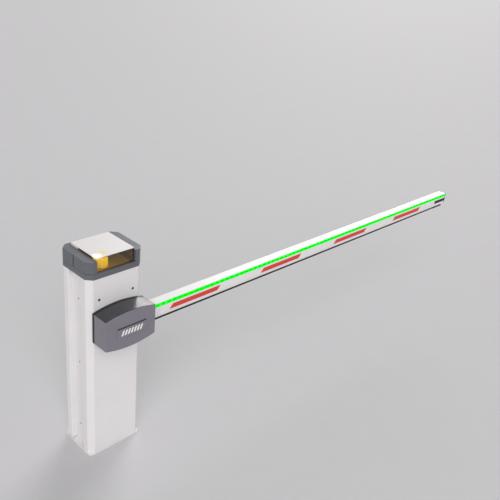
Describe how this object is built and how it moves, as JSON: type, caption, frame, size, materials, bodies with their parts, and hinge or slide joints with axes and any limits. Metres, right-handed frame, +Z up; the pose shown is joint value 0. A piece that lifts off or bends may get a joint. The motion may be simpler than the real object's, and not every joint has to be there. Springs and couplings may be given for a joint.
{
  "type": "parking barrier gate",
  "caption": "Parking barrier: a white steel cabinet with an amber flasher cap and a lift-up white boom with light strips and red reflectors, driven by a crank linkage.",
  "frame": {"origin": "centre of the four anchor holes, on the underside of the base plate", "axes": "+X along the lowered boom, -Y out of the face that carries the boom, +Z up"},
  "size_m": [2.861, 0.319, 1.0275],
  "materials": {
    "painted_sheet_steel": "white powder coat, fine orange peel",
    "zinc_plated_steel": "bright zinc plate",
    "dark_steel": "black oxide, lightly oiled",
    "cast_aluminium": "die cast, tumbled",
    "bearing_steel": "ground",
    "black_rubber": "matt moulded",
    "black_enamel": "semi-gloss enamel",
    "spring_steel": "shot peened, oiled",
    "laminated_iron": "varnished laminations",
    "grey_abs": "moulded, fine texture",
    "circuit_board": "solder mask",
    "sensor_body": "nickel-plated brass",
    "slate_abs": "moulded, spark-eroded texture",
    "amber_lens": "transparent amber polycarbonate",
    "opal_lid": "opal polycarbonate",
    "white_plastic": "moulded",
    "lamp_glow": "lit amber flasher insert",
    "white_aluminium": "extruded, white powder coat",
    "led_light": "lit green light strip behind a clear cover",
    "red_reflective": "retroreflective film",
    "black_pa": "moulded glass-filled polyamide",
    "mauve_grey_abs": "moulded, fine texture",
    "bronze": "machined bronze",
    "lock_chrome": "polished chrome plate",
    "red_paint": "gloss enamel"
  },
  "bodies": {
    "cabinet": {"base_plate": "painted_sheet_steel", "front_shell": "painted_sheet_steel", "side_channels": "painted_sheet_steel", "mounting_frame": "zinc_plated_steel", "housing_screws": "zinc_plated_steel", "frame_bolts": "dark_steel", "bearing_housings": "cast_aluminium", "bearings": "bearing_steel", "bearing_bridge": "zinc_plated_steel", "end_stops": "black_rubber", "shaft_seal": "black_rubber", "gearbox_housing": "cast_aluminium", "gearbox_cover": "cast_aluminium", "motor_body": "black_enamel", "motor_end_cap": "cast_aluminium", "spring_bracket": "zinc_plated_steel", "spring_eye_bolt": "zinc_plated_steel", "balance_spring": "spring_steel", "transformer": "laminated_iron", "control_box": "grey_abs", "control_box_lid": "grey_abs", "control_board": "circuit_board", "limit_sensors": "sensor_body", "top_cap": "slate_abs", "lamp_lens": "amber_lens", "lamp_roof": "opal_lid", "lamp_tray": "white_plastic", "lamp_bulb": "lamp_glow", "hinge_brackets": "zinc_plated_steel"},
    "boom": {"main_shaft": "dark_steel", "boom_lever": "zinc_plated_steel", "lever_pins": "dark_steel", "limit_cams": "dark_steel", "boom_flange": "zinc_plated_steel", "clamp_plate": "zinc_plated_steel", "boom_bolts": "dark_steel", "boom_tube": "white_aluminium", "led_covers": "led_light", "reflectors": "red_reflective", "rubber_edge": "black_rubber", "boom_end_cap": "black_pa", "tip_foot": "black_rubber", "boom_cover": "mauve_grey_abs", "cover_posts": "zinc_plated_steel", "cover_screws": "zinc_plated_steel", "badge": "mauve_grey_abs"},
    "crank": {"output_shaft": "dark_steel", "worm_wheel": "bronze", "crank_arm": "zinc_plated_steel"},
    "link": {"link_rod": "dark_steel", "link_bushes": "bronze"},
    "yoke": {"spring_yoke": "zinc_plated_steel"},
    "door": {"rear_door": "painted_sheet_steel", "hinge_leaves": "zinc_plated_steel", "lock_body": "lock_chrome"},
    "lock": {"lock_cam": "zinc_plated_steel"},
    "release": {"release_lever": "red_paint"},
    "worm": {"worm_shaft": "dark_steel"}
  },
  "joints": [
    {"name": "boom_swing", "type": "hinge", "parent": "cabinet", "child": "boom", "pos_m": [0, -0.02, 0.708], "axis": [0, -1, 0], "range_deg": [0, 90]},
    {"name": "crank_turn", "type": "hinge", "parent": "cabinet", "child": "crank", "pos_m": [0, -0.02, 0.448], "axis": [0, -1, 0], "range_deg": [0, 90]},
    {"name": "link_turn", "type": "hinge", "parent": "crank", "child": "link", "pos_m": [0.04243, 0.001, 0.40557], "axis": [0, 1, 0], "range_deg": [0, 90]},
    {"name": "yoke_slide", "type": "slide", "parent": "cabinet", "child": "yoke", "axis": [0, 0, -1], "range_m": [0, 0.08485], "deforming": ["balance_spring"]},
    {"name": "worm_turn", "type": "hinge", "parent": "cabinet", "child": "worm", "pos_m": [0.05, -0.054, 0.448], "axis": [0, 0, -1], "range_deg": [0, 2700]},
    {"name": "door_swing", "type": "hinge", "parent": "cabinet", "child": "door", "pos_m": [0.131, 0.04, 0.5], "axis": [0, 0, -1], "range_deg": [0, 110]},
    {"name": "lock_turn", "type": "hinge", "parent": "door", "child": "lock", "pos_m": [-0.078, 0.09, 0.5], "axis": [0, -1, 0], "range_deg": [0, 90]},
    {"name": "release_turn", "type": "hinge", "parent": "cabinet", "child": "release", "pos_m": [-0.008, -0.054, 0.508], "axis": [0, 0, -1], "range_deg": [0, 90]}
  ],
  "couplings": [
    {"joint": "crank_turn", "follows": "boom_swing", "ratio": 1},
    {"joint": "link_turn", "follows": "boom_swing", "ratio": 1},
    {"joint": "yoke_slide", "follows": "boom_swing", "m_per_rad": 0.054016},
    {"joint": "worm_turn", "follows": "boom_swing", "ratio": 30}
  ]
}
